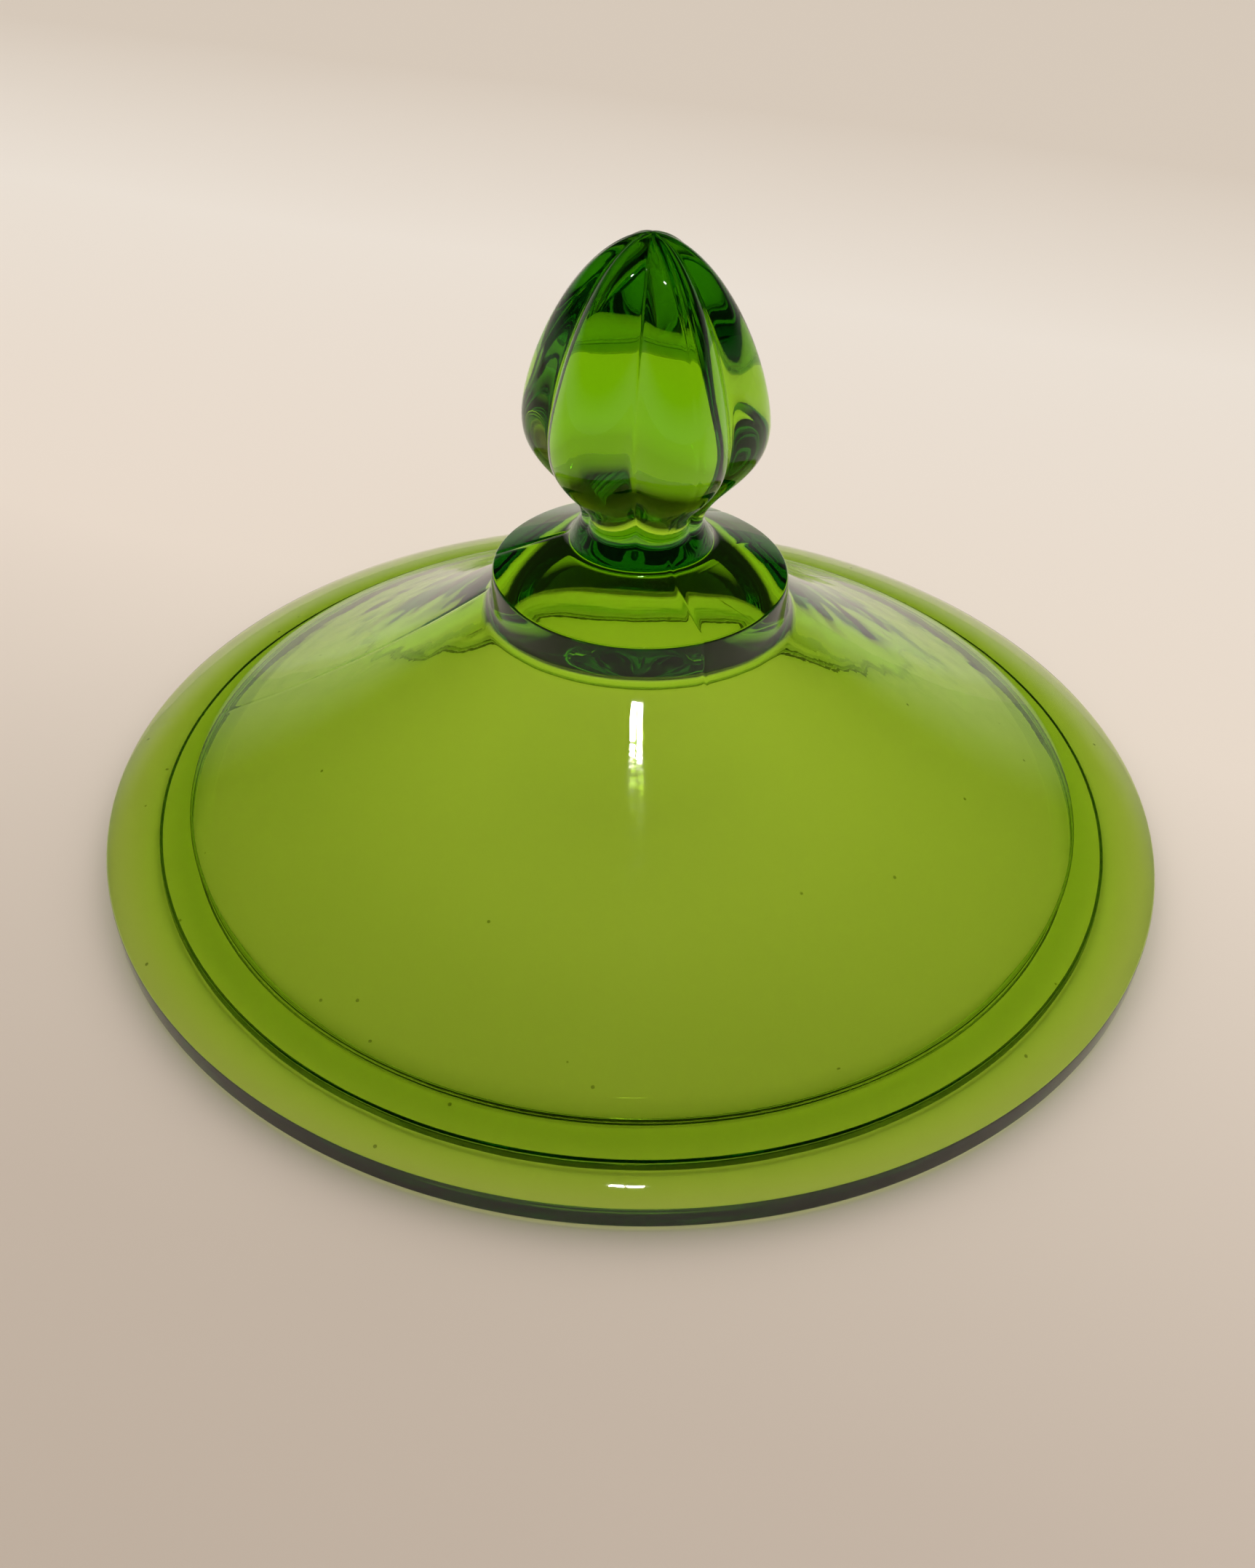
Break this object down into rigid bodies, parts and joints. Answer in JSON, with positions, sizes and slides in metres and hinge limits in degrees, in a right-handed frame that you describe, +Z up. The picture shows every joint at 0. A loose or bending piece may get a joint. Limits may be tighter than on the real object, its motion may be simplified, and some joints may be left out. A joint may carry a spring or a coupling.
{
  "type": "pressed glass lid",
  "caption": "Green pressed glass lid of a covered candy dish: lobed finial, stepped collar, bell-shaped cover, rolled flange and locating rib.",
  "frame": {"origin": "centre of the locating rib's flat bottom face, which is the lowest face of the lid", "axes": "+Z up through the tip of the finial; a ridge of the lobed finial points along +X"},
  "size_m": [0.15, 0.15, 0.0837],
  "materials": {
    "green_glass": "fire-polished, clear, coloured through"
  },
  "bodies": {
    "root": {"lid": "green_glass"}
  },
  "joints": []
}
